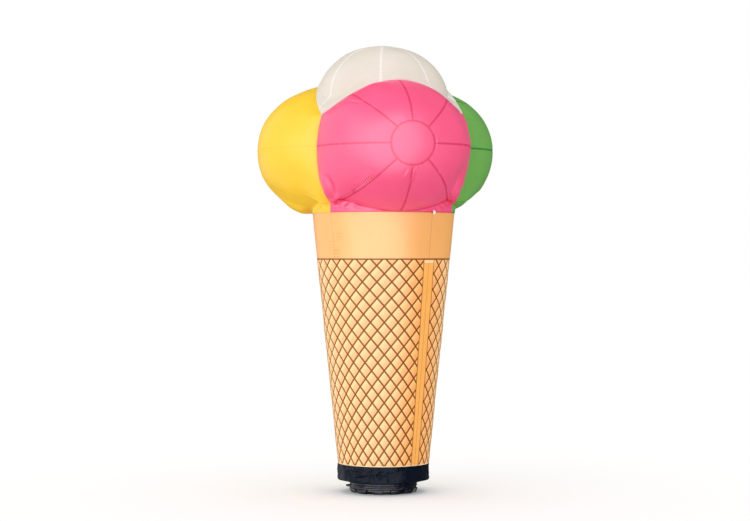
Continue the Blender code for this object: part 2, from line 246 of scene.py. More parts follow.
GLAND_HEIGHT = 0.040
GLAND_RADIUS = 0.009
GLAND_REACH = 0.030
GLAND_HOLLOW = 0.006            # depth of the sleeve's open end
KNURLS = 12
KNURL_DEPTH = 0.06              # as a share of the radius

turns = np.radians(np.arange(0.0, 360.0, 5.0))
gland_profile = np.array([      # reach and radius as shares, and how much of the knurling shows
    (0.0, 0.80, 0.0), (0.02, 0.97, 0.0), (0.08, 1.0, 1.0), (0.50, 1.0, 1.0), (0.55, 0.97, 0.0),
    (0.60, 0.88, 0.0), (0.64, 0.86, 0.0), (0.80, 0.84, 0.0), (0.97, 0.80, 0.0), (1.0, 0.72, 0.0),
    (0.97, 0.50, 0.0),
])
outward = level(GLAND_HEADING)
knurling = KNURL_DEPTH * (0.5 + 0.5 * np.cos(KNURLS * turns))
radius = GLAND_RADIUS * (gland_profile[:, 1:2] - knurling * gland_profile[:, 2:])
ring = points_at(GLAND_HEADING + 90.0, np.cos(turns), np.sin(turns))
line = points_at(GLAND_HEADING, FAN_BODY_RADIUS + GAP + GLAND_REACH * gland_profile[:, 0], GLAND_HEIGHT)
lead_gland = skin("lead_gland", line[:, None] + ring * radius[..., None], line[0],
                  line[-1] - outward * GLAND_HOLLOW, crease=40.0)
fit(lead_gland, abs_plastic, "cable_gland")

# ------------------------------------------------------------------------------------------
# Skirt.  Black coated nylon sewn to the band's lower edge and gathered by a cord in its hem
# onto the fan's lip, so that it draws up into small folds towards the fan.

BAND_RADIUS = 0.3094
SKIRT_TOP = 0.0863
BLACK_THICKNESS = 0.0016
FOLD_COUNT = 46
FOLD_DEPTHS = (0.0035, 0.0030)  # out and up
SKIRT_SLANT = 0.085             # along the cloth, from the band to the hem
SKIRT_MIDDLE = 0.27             # the radius that its weave is measured on
HEM_HIGH = -13.0                # the hem rides highest on the lip at this heading
HEM_DROP = 0.011
WEAVE_PITCH = 0.005             # real threads lie 0.3 mm apart; drawn coarser so that they show


def uneven(points, shortest, longest, seed, waves=24):
    """A soft unevenness of about -1 to 1: a sum of plane waves cos(k . p + phase).

    Their directions are spread evenly, and their lengths between the shortest and the longest.
    """
    chance = np.random.default_rng(seed)
    direction = chance.normal(size=(waves, 3))
    direction /= np.linalg.norm(direction, axis=1, keepdims=True)
    length = np.exp(chance.uniform(np.log(shortest), np.log(longest), waves))
    phase = chance.uniform(0.0, 2.0 * np.pi, waves)
    total = np.zeros(points.shape[:-1])
    for way, size, shift in zip(direction, length, phase):
        total += np.cos(points @ (way * 2.0 * np.pi / size) + shift)
    return total / np.sqrt(waves / 2.0)


def round_map(headings, radius, along):
    """Thread coordinates of cloth that goes round: u along the turn and v along the rows, in metres."""
    turn = np.radians(headings)
    step = np.radians(np.append(headings[1:], headings[0] + 360.0)) - turn
    left, right = turn * radius + 0.0 * along, (turn + step) * radius + 0.0 * along
    return left, along + 0.0 * turn, right, along + 0.0 * turn


def cloth_ring(name, outer, from_edge, radius, along):
    """A ring of cloth with two faces: the outer rows, then the same rows one thickness further in.

    from_edge and along are each row's metres to its nearer edge and along the cloth, and radius
    is the one that its threads are measured on.
    """
    inner = outer.copy()
    inner[..., :2] *= 1.0 - BLACK_THICKNESS / np.linalg.norm(outer[..., :2], axis=-1, keepdims=True)
    from_edge, along = (np.concatenate([rows, rows[::-1]]) for rows in (from_edge, along))
    return skin(name, np.concatenate([outer, inner[::-1]]), crease=60.0,
                numbers={"seam": from_edge + 0.0 * headings},
                maps={"cloth": round_map(headings, radius, along)})


def nylon_colour(base, shade, seam_tint, seam_width):
    """Dyed cloth: base drifting to shade in soft clouds, and seam_tint where a seam doubles it.

    The attribute seam is the distance to the nearest seam in metres. Where a scoop paints shade in its pleats
    and furrows the value is made smaller there, so the seam tint is painted shade as well.
    """
    def colour(surface, place):
        clouds = add_node(surface, "TexNoise", {"Scale": 4.0, "Detail": 3.0, "Vector": place})
        drift = add_node(surface, "MapRange", {"From Min": 0.35, "From Max": 0.7,
                         "Value": clouds.outputs["Fac"]}).outputs["Result"]
        ground = add_node(surface, "Mix", {"data_type": "RGBA", 6: linear(base), 7: linear(shade),
                          0: drift})
        seam = add_node(surface, "Attribute", {"attribute_name": "seam"}).outputs["Fac"]
        seam_and_shade_tint = add_node(surface, "MapRange", {
            "interpolation_type": "SMOOTHSTEP", "From Min": seam_width * 0.3, "From Max": seam_width * 0.7,
            "To Min": 1.0, "To Max": 0.0, "Value": seam}).outputs["Result"]
        return add_node(surface, "Mix", {"data_type": "RGBA", 7: linear(seam_tint),
                        0: seam_and_shade_tint, 6: ground.outputs[2]}).outputs[2]
    return colour


def nylon_relief(crumple):
    """Plain weave as two crossed sets of waves, over the soft crumples of thin taut cloth."""
    def relief(surface, place):
        thread = add_node(surface, "UVMap", {"uv_map": "cloth"}).outputs["UV"]
        bands = 2.0 * np.pi / (20.0 * WEAVE_PITCH)      # a wave texture has 20 / 2 pi bands at scale 1
        weft, warp = (add_node(surface, "TexWave", {"bands_direction": way, "Scale": bands,
                               "Vector": thread}).outputs["Fac"] for way in "XY")
        weave = add_node(surface, "Math", {"operation": "MULTIPLY", 0: weft, 1: warp}).outputs[0]
        fine = add_node(surface, "Bump", {"Strength": 0.12, "Distance": 0.0005, "Height": weave})
        soft = add_node(surface, "TexNoise", {"Scale": 9.0, "Detail": 4.0, "Roughness": 0.5,
                        "Vector": place})
        return add_node(surface, "Bump", {"Strength": crumple, "Distance": 0.03,
                        "Height": soft.outputs["Fac"], "Normal": fine.outputs["Normal"]}).outputs["Normal"]
    return relief


# Black 210-denier nylon with a thin polyurethane coat: near-black blue, silky where it creases.
black_nylon = new_material("black_coated_nylon", nylon_colour("#0E1727", "#0A101E", "#181C28", 0.006),
                           nylon_relief(1.10), roughness=0.24, gloss=0.080)

headings = np.arange(0.0, 360.0, 0.5)
turn = np.radians(headings)
gather = np.linspace(0.0, 1.0, 24)[:, None]     # 0 at the band, 1 at the fan
skirt_path = np.array([(0.3068, SKIRT_TOP), (0.2960, 0.0845), (0.2760, 0.0800), (0.2560, 0.0756),
                       (0.2420, 0.0728), (0.2345, 0.0712), (0.2312, 0.0690)])
stations = np.linspace(0.0, 1.0, len(skirt_path))
# The folds are cos(FOLD_COUNT a), shifted and weakened by slower waves of the turn a.  They have
# no depth at the band and at the hem, and the most a little before the hem.
wander = 0.35 * np.sin(3 * turn + 1.0) + 0.25 * np.sin(7 * turn + 0.4)
folds = np.cos(FOLD_COUNT * turn + 5.0 * wander) * (0.6 + 0.4 * np.cos(5 * turn + 2.0))
slack = np.clip(np.sin(np.pi * gather), 0.0, 1.0) ** 0.7 * (0.35 + 0.65 * gather)
radius = np.interp(gather, stations, skirt_path[:, 0]) + FOLD_DEPTHS[0] * folds * slack
height = np.interp(gather, stations, skirt_path[:, 1]) + FOLD_DEPTHS[1] * folds * slack
height = height - HEM_DROP * gather**6 * (0.5 - 0.5 * np.cos(turn - np.radians(HEM_HIGH)))
grid = points_at(headings, radius, height)
reach = SKIRT_SLANT * gather
base_skirt_cloth = cloth_ring("base_skirt_cloth", grid, np.minimum(reach, reach[::-1]), SKIRT_MIDDLE, reach)
fit(base_skirt_cloth, black_nylon, "base_skirt")

# ------------------------------------------------------------------------------------------
# Band.  A strip of the same black nylon sewn round under the cone.  The air presses on it less
# than on the cone, so it is slack: folds run out from where the skirt's hem tugs at it.

CONE_BOTTOM = 0.193
STAR = (-22.0, 0.165)           # heading and height from which folds spread like a star
STAR_FOLDS = (                  # angle, length, width and height of each
    (-160, 0.085, 0.006, 0.0080), (-128, 0.085, 0.005, 0.0070), (-95, 0.080, 0.006, 0.0075),
    (-58, 0.085, 0.005, 0.0070), (-25, 0.080, 0.006, 0.0065), (42, 0.075, 0.006, 0.0080),
    (68, 0.060, 0.005, 0.0060), (152, 0.085, 0.006, 0.0070),
)
STAR_FURROW = (-0.1156, 0.133, -0.0740, 0.177, 0.0045, -0.0090)     # a deep one in its middle
CHANCE_FOLDS = 36
OVAL = (-53.0, 0.148)           # heading and height of the middle of a long slack dimple
OVAL_HALF = (0.085, 0.022)
OVAL_RIM = 0.008
OVAL_HOLLOW = 0.005
BAND_UNEVENNESS = 0.0018
BAND_SLACK = 0.0025             # how far in it hangs on the whole
BAND_LOWEST = -0.012            # the folds' deepest hollow and highest ridge
BAND_HIGHEST = 0.0035
BAND_CALM = 0.018               # the folds die out over this much of its height at each edge
TUCK_DEPTH = 0.0026             # each edge is drawn in where it is sewn
TUCK_WIDTH = 0.008


def wrapped(value, half=180.0):
    """The value moved by whole turns to lie from minus to plus half a turn."""
    return (value + half) % (2 * half) - half


def fold_lines(across, along, lines):
    """Folds along straight lines in cloth, in the cloth's own metres.

    A point at the share s of a line, a distance d to its side, is lifted by height times
    4 s (1 - s) times (exp(-(d / width)^2) - 0.7 exp(-(d / width - 1.6)^2)): a ridge with a furrow.
    """
    total = 0.0 * across
    for first_across, first_along, last_across, last_along, width, height in lines:
        run, rise = last_across - first_across, last_along - first_along
        length = np.hypot(run, rise)
        share = ((across - first_across) * run + (along - first_along) * rise) / length**2
        beside = ((across - first_across) * rise - (along - first_along) * run) / length / width
        profile = np.exp(-beside**2) - 0.7 * np.exp(-(beside - 1.6) ** 2)
        total += height * np.clip(4.0 * share * (1.0 - share), 0.0, 1.0) * profile
    return total


band_height = np.linspace(SKIRT_TOP + GAP, CONE_BOTTOM - GAP, 40)[:, None]
edge = np.minimum(band_height - SKIRT_TOP, CONE_BOTTOM - band_height)
around = np.radians(headings) * BAND_RADIUS     # metres round the band, 0 at heading 0
chance = np.random.default_rng(12)
star_around, star_height = np.radians(STAR[0]) * BAND_RADIUS, STAR[1]
lines = [STAR_FURROW]
for angle, length, width, height in STAR_FOLDS:
    way = np.radians(angle)
    lines.append((star_around, star_height, star_around + length * np.cos(way),
                  star_height + length * np.sin(way), width, height))
for count in range(CHANCE_FOLDS):
    middle = chance.uniform(-np.pi, np.pi) * BAND_RADIUS
    length = chance.uniform(0.05, 0.16)
    way = np.radians(chance.choice((-1, 1)) * chance.uniform(15, 60))
    half_run, half_rise = length / 2 * np.cos(way), min(length / 2 * np.sin(abs(way)), 0.04) * np.sign(way)
    low = 0.135 + chance.uniform(-0.02, 0.02)
    width, height = chance.uniform(0.006, 0.010), chance.uniform(0.0012, 0.0032)
    lines.append((middle - half_run, low - half_rise, middle + half_run, low + half_rise, width, height))
field = np.broadcast_to(wrapped(around, np.pi * BAND_RADIUS), (len(band_height), len(around)))
lift = fold_lines(field, band_height + 0.0 * field, lines)
oval = np.hypot((field - np.radians(OVAL[0]) * BAND_RADIUS) / OVAL_HALF[0],
                (band_height - OVAL[1]) / OVAL_HALF[1])
# The dimple has a rim, exp(-((o - 1) / 0.26)^2), and a hollow, exp(-(o / 0.7)^2), for the share o
# of the way out from its middle to its edge.
lift += OVAL_RIM * np.exp(-((oval - 1.0) / 0.26) ** 2) - OVAL_HOLLOW * np.exp(-(oval / 0.7) ** 2)
lift += BAND_UNEVENNESS * uneven(points_at(headings, BAND_RADIUS, band_height), 0.05, 0.20, 5)
lift = np.clip(lift - BAND_SLACK, BAND_LOWEST, BAND_HIGHEST) * smooth(0.0, BAND_CALM, edge)
radius = BAND_RADIUS - TUCK_DEPTH * (1.0 - smooth(0.0, TUCK_WIDTH, edge)) + lift
grid = points_at(headings, radius, band_height)
base_band_cloth = cloth_ring("base_band_cloth", grid, edge, BAND_RADIUS, band_height)
fit(base_band_cloth, black_nylon, "base_band")

# ------------------------------------------------------------------------------------------
# Cone.  A tapered tube of four panels of orange coated nylon, sewn together up their sides and
# kept full by the fan's air.  A waffle pattern is printed on it as one sheet that goes round and
# leaves a plain strip over one seam; the cloth is unprinted along its lower edge too.

CONE_BOTTOM_RADIUS = 0.306
WAFFLE_TOP = 1.5685             # the print ends and the plain collar starts
COLLAR_TOP = 1.872
COLLAR_TOP_RADIUS = 0.4785
PANEL_SEAMS = (-60.0, 30.0, 120.0, 210.0)
PANEL_COLUMNS = 80              # points across a panel, crowded towards its seams
CROWDING = 0.75
PANEL_HOLLOW = 0.0030           # how much further in a panel lies at its seams than in its middle
STITCH_DEPTH = 0.0016
STITCH_WIDTH = 0.005
TUBE_PUCKER = 0.0012
TUBE_UNEVENNESS = 0.0010
STRIP_SEAM = 30.0               # the plain strip lies over this seam
STRIP_START = 384.1             # headings past the seam where the print ends and starts
STRIP_END = 36.1
CELL_TURN = 12.944              # degrees from one diamond to the next
CELL_START = 37.2               # heading of the first diamond's middle
CELL_HEIGHT = 0.1061
CELL_LEVEL = 1.4687             # height of one row of crossings
LINE_WIDTH = 0.0108
HATCH_COUNT = 6.0               # baked streaks across a cell
HEM_WIDTH = 0.006               # the print's unlined lower edge
SEAM_WIDTH = 0.006
SIDE_LINE_WIDTH = 0.0065
TOP_LINE_WIDTH = 0.0085
TOP_LINE_DROP = 0.0045          # from the print's top to the line's middle
STRIP_HEM_WIDTH = 0.018         # the pale hem over the plain strip
STRIP_HEM_DROP = 0.020


def crowded(seams, steps, crowding, extra=()):
    """Angles that lie closer near the seams: the share s across a panel becomes s - c sin(2 pi s) / 2 pi.

    Angles in extra are put in exactly, in place of any within a fifth of a degree.
    """
    seams = np.sort(np.mod(seams, 360.0))
    widths = np.diff(np.append(seams, seams[0] + 360.0))
    share = np.arange(steps) / steps
    share = share - crowding * np.sin(2.0 * np.pi * share) / (2.0 * np.pi)
    found = (seams[:, None] + widths[:, None] * share).ravel()
    extra = (np.array(extra) - seams[0]) % 360.0 + seams[0]
    near = np.abs(found[:, None] - extra[None, :]).min(axis=1, initial=360.0) < 0.2
    return np.sort(np.append(found[~near], extra))


def across_panels(angles, seams):
    """For each angle its panel, the panel's width, and the place across it from -1 to 1.

    The angles run from the first seam once round, as crowded gives them.
    """
    seams = np.sort(np.mod(seams, 360.0))
    ends = np.append(seams, seams[0] + 360.0)
    panel = np.clip(np.searchsorted(ends, angles + 1e-9, side="right") - 1, 0, len(seams) - 1)
    width = ends[panel + 1] - ends[panel]
    return panel, width, 2.0 * (angles - ends[panel]) / width - 1.0


def ripple(run, spacing, seed, which=0):
    """Irregular waves along a run, of about -1 to 1: four cosines of lengths round the spacing.

    which picks a seam's own phases.
    """
    phase = np.random.default_rng(seed).uniform(0.0, 2.0 * np.pi, (16, 4))[which]
    total = 0.0
    for part, size in enumerate((0.82, 0.95, 1.12, 1.35)):
        total = total + np.cos(2.0 * np.pi * run / (spacing * size) + phase[..., part])
    return total / 2.0


def gathered(run, from_seam, seam, seed, spacing=0.021, height=0.0016, reach=0.030):
    """Puckers beside a seam, where the sewing has drawn the cloth up.

    Ripples along the seam, exp(-distance / reach) away from it, in patches that another, slower
    ripple makes.
    """
    patches = 0.25 + 0.9 * np.clip(ripple(run, 0.30, seed + 1, seam), 0.0, 1.0)
    return height * patches * ripple(run, spacing, seed, seam) * np.exp(-np.abs(from_seam) / reach)


def taper_radius(height):
    """The cone's radius, which grows evenly from its lower edge to the collar's top."""
    share = (height - CONE_BOTTOM) / (COLLAR_TOP - CONE_BOTTOM)
    return CONE_BOTTOM_RADIUS + (COLLAR_TOP_RADIUS - CONE_BOTTOM_RADIUS) * share


def taper_surface(height, columns, seed):
    """The sewn tube between two heights: its points, and each point's distance to a seam or an edge.

    The radius is the taper's, less 1 - cos(pi w / 2) for the place w from -1 to 1 across a panel
    and a narrow groove at its seams, plus puckers along the seams and a broad unevenness.
    """
    panel, width, place = across_panels(columns, PANEL_SEAMS)
    radius = taper_radius(height)
    from_seam = (1.0 - np.abs(place)) * np.radians(width) / 2.0 * radius
    seam = (panel + (place > 0)) % len(PANEL_SEAMS)
    edge = np.minimum(height - height[0], height[-1] - height) + 0.0 * columns
    hollow = PANEL_HOLLOW * (1.0 - np.cos(np.pi / 2.0 * place))
    hollow = hollow + STITCH_DEPTH * np.exp(-((from_seam / STITCH_WIDTH) ** 2))
    puckers = gathered(height + 0.0 * columns, from_seam, seam, seed, height=TUBE_PUCKER, reach=0.035)
    even = points_at(columns, radius, height)
    soft = TUBE_UNEVENNESS * uneven(even, 0.15, 0.6, seed)
    lift = (puckers + soft) * smooth(0.0, 0.015, edge) - hollow
    return points_at(columns, radius + lift, height), np.minimum(from_seam, edge)


def waffle_colour(surface, place):
    """The printed waffle: brown lines that cross as diamonds, over cells shaded like baked dough.

    The UV map print counts diamonds round and up: p = u + v and q = u - v are whole on the lines.
    The attribute pitch is the metres from one line to the next, side the metres from a side of
    the print, negative on the plain strip, and rise the metres above the cone's lower edge.
    """
    count = add_node(surface, "UVMap", {"uv_map": "print"}).outputs["UV"]
    split = add_node(surface, "SeparateXYZ", {0: count})
    pitch, side, rise = (add_node(surface, "Attribute", {"attribute_name": name}).outputs["Fac"]
                         for name in ("pitch", "side", "rise"))
    lines, shares = [], []
    for way in ("ADD", "SUBTRACT"):
        crossing = add_node(surface, "Math", {
            "operation": way, 0: split.outputs["X"], 1: split.outputs["Y"]}).outputs[0]
        away = add_node(surface, "Math", {"operation": "PINGPONG", 0: crossing, 1: 0.5}).outputs[0]
        lines.append(add_node(surface, "Math", {"operation": "MULTIPLY", 0: away, 1: pitch}).outputs[0])
        shares.append(add_node(surface, "Math", {
            "operation": "FLOORED_MODULO", 0: crossing, 1: 1.0}).outputs[0])
    nearest = add_node(surface, "Math", {"operation": "MINIMUM", 0: lines[0], 1: lines[1]}).outputs[0]

    def strip(value, middle, width, soft=0.0012):
        """1 where the value is within half the width of the middle, with a soft edge."""
        off = add_node(surface, "Math", {"operation": "SUBTRACT", 0: value, 1: middle}).outputs[0]
        off = add_node(surface, "Math", {"operation": "ABSOLUTE", 0: off}).outputs[0]
        return add_node(surface, "MapRange", {
            "interpolation_type": "SMOOTHSTEP", "From Min": width / 2 - soft, "From Max": width / 2 + soft,
            "To Min": 1.0, "To Max": 0.0, "Value": off}).outputs["Result"]

    def laid(below, above, *amounts, blend="MIX"):
        """One colour laid over another by the product of the amounts, each from 0 to 1."""
        product = amounts[0]
        for amount in amounts[1:]:
            product = add_node(surface, "Math", {
                "operation": "MULTIPLY", 0: product, 1: amount}).outputs[0]
        return add_node(surface, "Mix", {
            "data_type": "RGBA", "blend_type": blend, 0: product, 6: below, 7: above}).outputs[2]

    hatch = add_node(surface, "Math", {"operation": "MULTIPLY", 0: shares[0], 1: HATCH_COUNT}).outputs[0]
    hatch = add_node(surface, "Math", {"operation": "PINGPONG", 0: hatch, 1: 0.5}).outputs[0]
    deep = add_node(surface, "MapRange", {
        "From Min": 0.25, "From Max": 0.6, "Value": shares[1]}).outputs["Result"]
    beside = add_node(surface, "MapRange", {
        "interpolation_type": "SMOOTHSTEP", "From Max": PRINT_SIDE_SHADE_REACH, "To Min": 1.0, "To Max": 0.0,
        "Value": side}).outputs["Result"]
    inside = add_node(surface, "Math", {"operation": "GREATER_THAN", 0: side, 1: 0.0}).outputs[0]
    outside = add_node(surface, "Math", {"operation": "SUBTRACT", 0: 1.0, 1: inside}).outputs[0]
    above = add_node(surface, "Math", {"operation": "GREATER_THAN", 0: rise, 1: HEM_WIDTH}).outputs[0]
    top = WAFFLE_TOP - CONE_BOTTOM

    dough = laid(linear(DOUGH_LIGHT), linear(DOUGH_DEEP), shares[1])
    dough = laid(dough, linear(DOUGH_HATCH), hatch, deep, 0.9)
    dough = laid(dough, linear(LINE_BROWN), strip(nearest, 0.0, LINE_WIDTH))
    # Painted shade: the dough is darkened towards the print's two sides, on the cone's right-hand side, away
    # from the lamps.
    dough = laid(dough, linear(PRINT_SIDE_SHADE), beside, blend="MULTIPLY")
    plain = nylon_colour(ORANGE, ORANGE_SHADE, ORANGE_SEAM, SEAM_WIDTH)(surface, place)
    printed = laid(plain, dough, inside, above)
    printed = laid(printed, linear(DOUGH_PALE), strip(rise, HEM_WIDTH / 2, HEM_WIDTH))
    strip_hem = strip(rise, top - STRIP_HEM_DROP, STRIP_HEM_WIDTH)
    printed = laid(printed, linear(DOUGH_PALE), strip_hem, outside, 0.8)
    printed = laid(printed, linear(STRIP_BROWN), strip(side, 0.0, SIDE_LINE_WIDTH), 0.9)
    return laid(printed, linear(LINE_BROWN), strip(rise, top - TOP_LINE_DROP, TOP_LINE_WIDTH))


ORANGE = "#FCB45C"
ORANGE_SHADE = "#FAAF56"
ORANGE_SEAM = "#E39A52"
DOUGH_LIGHT = "#FFE0A0"
DOUGH_DEEP = "#FFC48E"
DOUGH_HATCH = "#EE9A58"
DOUGH_PALE = "#FFDDB0"
PRINT_SIDE_SHADE = "#FCE2C0"        # painted shade: the print is darkened towards its two sides by the plain strip, on the cone's right-hand side, away from the lamps
PRINT_SIDE_SHADE_REACH = 0.22
LINE_BROWN = "#8A4A00"
STRIP_BROWN = "#94580C"
SMOOTH_CRUMPLE = 0.05           # cloth that the air keeps taut
NYLON_ROUGHNESS = 0.42

# The same coated nylon in orange, with the waffle printed on it in matt ink.
waffle_nylon = new_material("waffle_printed_nylon", waffle_colour, nylon_relief(SMOOTH_CRUMPLE),
                            roughness=NYLON_ROUGHNESS, gloss=0.16)

columns = crowded(PANEL_SEAMS, PANEL_COLUMNS, CROWDING, extra=(STRIP_START, STRIP_END))
height = np.linspace(CONE_BOTTOM, WAFFLE_TOP - GAP / 2, 280)[:, None]
grid, from_seam = taper_surface(height, columns, seed=11)
past_strip = (columns - STRIP_SEAM) % 360.0 + STRIP_SEAM
right_past = np.append(columns[1:], columns[0] + 360.0)
right_past = (right_past - STRIP_SEAM - 1e-6) % 360.0 + STRIP_SEAM + 1e-6
side = np.minimum(past_strip - STRIP_END, STRIP_START - past_strip)
cells_up = (height - CELL_LEVEL) / CELL_HEIGHT
cell = np.radians(CELL_TURN) * taper_radius(height)
everywhere = np.ones_like(grid[..., 0])
waffle_cone = skin(
    "waffle_cone", grid, upright(height[0, 0]), upright(height[-1, 0]), crease=60.0,
    numbers={"seam": from_seam, "rise": (height - CONE_BOTTOM) * everywhere,
             "side": np.radians(side) * taper_radius(height),
             "pitch": 1.0 / np.hypot(1.0 / cell, 1.0 / CELL_HEIGHT) * everywhere},
    maps={"cloth": round_map(columns, 0.4, height),
          "print": tuple(everywhere * one for one in (
              (past_strip - CELL_START) / CELL_TURN, cells_up,
              (right_past - CELL_START) / CELL_TURN, cells_up))})
fit(waffle_cone, waffle_nylon, "cone")

# ------------------------------------------------------------------------------------------
# Collar.  Plain orange coated nylon above the print, on the same four panel seams.  Beside the
# left-hand seam the sewing has drawn the cloth up into two short rows of level puckers.

PUCKER_ROWS = (                 # lowest and highest pucker, and the headings they lie between
    (1.694, 1.738, -57.0, -49.5), (1.583, 1.636, -60.0, -52.0),
)
PUCKER_PITCH = 0.0200
PUCKER_HEIGHT = 0.0045

# Orange coated nylon: a soft broad gloss where it faces the light.
orange_nylon = new_material("orange_coated_nylon",
                            nylon_colour(ORANGE, ORANGE_SHADE, ORANGE_SEAM, SEAM_WIDTH),
                            nylon_relief(SMOOTH_CRUMPLE), roughness=NYLON_ROUGHNESS, gloss=1.0)

columns = crowded(PANEL_SEAMS, PANEL_COLUMNS, CROWDING)
height = np.linspace(WAFFLE_TOP + GAP / 2, COLLAR_TOP, 90)[:, None]
grid, from_seam = taper_surface(height, columns, seed=23)
for low, high, first, last in PUCKER_ROWS:
    window = within(first - 1.0, first + 1.0, last - 2.0, last + 2.0, wrapped(columns))
    rows = within(low - 0.012, low - 0.004, high + 0.004, high + 0.012, height)
    lift = PUCKER_HEIGHT * (np.cos(np.pi * (height - low) / PUCKER_PITCH) ** 8 - 0.3) * rows * window
    grid = grid + level(columns) * lift[..., None]
collar_cloth = skin(
    "collar_cloth", grid, upright(height[0, 0]), upright(height[-1, 0]), crease=60.0,
    numbers={"seam": from_seam}, maps={"cloth": round_map(columns, 0.46, height)})
fit(collar_cloth, orange_nylon, "collar")

# ------------------------------------------------------------------------------------------
# Necks.  Under each lower scoop a piece of the scoop's own cloth closes the corner down to the
# collar: a third of a ring that is almost nothing at its middle and tallest at its two ends.

HALF_SECTOR = 60.0              # a lower scoop fills a third of the turn
NECK_SEAM_MIDDLE = 1.876
NECK_SEAM_RISE = 0.140
NECK_SEAM_DROP = 0.080          # back down into the corner
NECK_SEAM_APEX = 1.900          # on the axis, inside
NECK_INSIDE = 0.2               # its ends close towards points this far out from the axis
NECK_SINK = 0.006               # the upper end closes this far below the apex
NECK_PUFF = 0.05                # a bulge, as a share of its height
NECK_HEIGHT = 0.05              # that its weave is measured on

SCOOP_CLOTHS = {                # base, shade, seam
    "pink": ("#FD4B82", "#F9467C", "#E20E5C"),
    "yellow": ("#FACB10", "#F8C60C", "#F6C010"),
    "green": ("#6BB14B", "#65AA46", "#2C8A2E"),
    "white": ("#DFD6CA", "#DAD0C3", "#E9E3DB"),
}
GLOSSES = {"pink": 0.8, "yellow": 0.5, "green": 0.5, "white": 0.3}
SEAM_WIDTHS = {"pink": 0.0125, "yellow": 0.005, "green": 0.0130, "white": 0.017}
SCOOP_HEADINGS = {"pink": 0.0, "yellow": -120.0, "green": 120.0}

# Coated nylon in four colours.  A seam lets less light through, so it is deeper in the
# coloured cloths and brighter in the white one.
scoop_nylon = {
    colour: new_material(colour + "_coated_nylon", nylon_colour(*tints, SEAM_WIDTHS[colour]),
                         nylon_relief(SMOOTH_CRUMPLE), roughness=NYLON_ROUGHNESS, gloss=GLOSSES[colour])
    for colour, tints in SCOOP_CLOTHS.items()
}


def neck_seam(heading, turn):
    """Where a lower scoop is sewn to its neck, turn degrees from its middle.

    It rises with the share of the way to the corner to the power 1.8, and drops into the corner
    with the share to the power 9.
    """
    share = np.abs(turn) / HALF_SECTOR
    height = NECK_SEAM_MIDDLE + NECK_SEAM_RISE * share**1.8 - NECK_SEAM_DROP * share**9
    return points_at(heading + turn, COLLAR_TOP_RADIUS, height)


turn = np.linspace(-HALF_SECTOR, HALF_SECTOR, 161)
share = np.linspace(0.0, 1.0, 24)[:, None]
for number, (colour, heading) in enumerate(SCOOP_HEADINGS.items()):
    low = points_at(heading + turn, COLLAR_TOP_RADIUS, COLLAR_TOP + GAP)
    high = neck_seam(heading, turn)
    tall = (high - low)[:, 2]
    wall = low + (high - low) * share[..., None]
    ends = smooth(0.0, 8.0, HALF_SECTOR - np.abs(turn))
    bulge = NECK_PUFF * tall + NECK_PUFF * tall * uneven(wall, 0.03, 0.12, 31 + number)
    lift = bulge * np.sin(np.pi * share) * ends
    wall = wall + level(heading + turn) * lift[..., None]
    axis = upright(COLLAR_TOP + GAP + (NECK_SEAM_APEX - COLLAR_TOP - GAP) * share)
    shift = level(heading) * GAP / 2 / np.sin(np.radians(HALF_SECTOR))
    grid = np.concatenate([wall, axis.reshape(-1, 1, 3)], axis=1) + shift
    inside = level(heading) * NECK_INSIDE + shift
    edge = np.append(np.minimum(share * tall, (1 - share) * tall), np.full_like(share, 0.1), axis=1)
    along = np.append(np.radians(turn) * COLLAR_TOP_RADIUS, 0.0) + 0.0 * share
    rise = NECK_HEIGHT * share + 0.0 * along
    neck_cloth = skin(
        "neck_cloth_" + colour, grid, inside + upright(COLLAR_TOP + GAP),
        inside + upright(NECK_SEAM_APEX - NECK_SINK), crease=40.0,
        numbers={"seam": edge}, maps={"cloth": (along, rise, np.roll(along, -1, axis=1), rise)})
    fit(neck_cloth, scoop_nylon[colour], "neck_" + colour)

# ------------------------------------------------------------------------------------------
# Lower scoops.  Three balls of coated nylon, each sewn from eight pointed gores and a round end
# cap, then sewn to its two neighbours, to its neck below and to the top scoop above.  Flat
# gores can't quite make a ball: the air bulges each between its seams, and the seams pucker.

SCOOP_OFFSET = 0.337            # the ball's middle, out from the axis
SCOOP_HEIGHT = 2.302
SCOOP_HALF_WIDTH = 0.505
SCOOP_INSIDE = 2.12             # the unseen inner faces meet here on the axis
TOP_SEAM_RADII = (0.430, 0.552)
TOP_SEAM_HEIGHTS = (2.735, 2.504)
SIDE_SEAM_WAIST = 2.29
SIDE_SEAM_SHAPES = {            # by heading: radius at the waist, and the powers below and above it
    60.0: (0.583, 1.9, 1.4), 180.0: (0.592, 2.8, 2.0), 300.0: (0.592, 2.8, 2.0),
}
GORE_ANGLE = 45.0
CAP_ANGLE = 16.5                # from the pole to the round end cap's seam
CAP_ROWS = 12
EVEN_ANGLE = 55.0               # to here all points of a row lie equally far from the pole
SHORTEST_SPREAD = 10.0          # degrees, over which the cloth spreads at least
GORE_COLUMNS = 34
GORE_CROWDING = 0.6
FINE_STEP = 0.8                 # degrees from column to column where small folds cross them
GROOVE_WIDTH = 0.006
RIM_PUCKERS = 1.2               # how much stronger the puckers are where two balls meet
CAP_PUCKER = 0.0010
UNEVENNESS = 0.0022
CREASE_SHADE_REACH = 0.009           # the seam distance at which the seam tint, laid as painted shade in pleats and furrows, fades to none
LINE_POINTS = 600

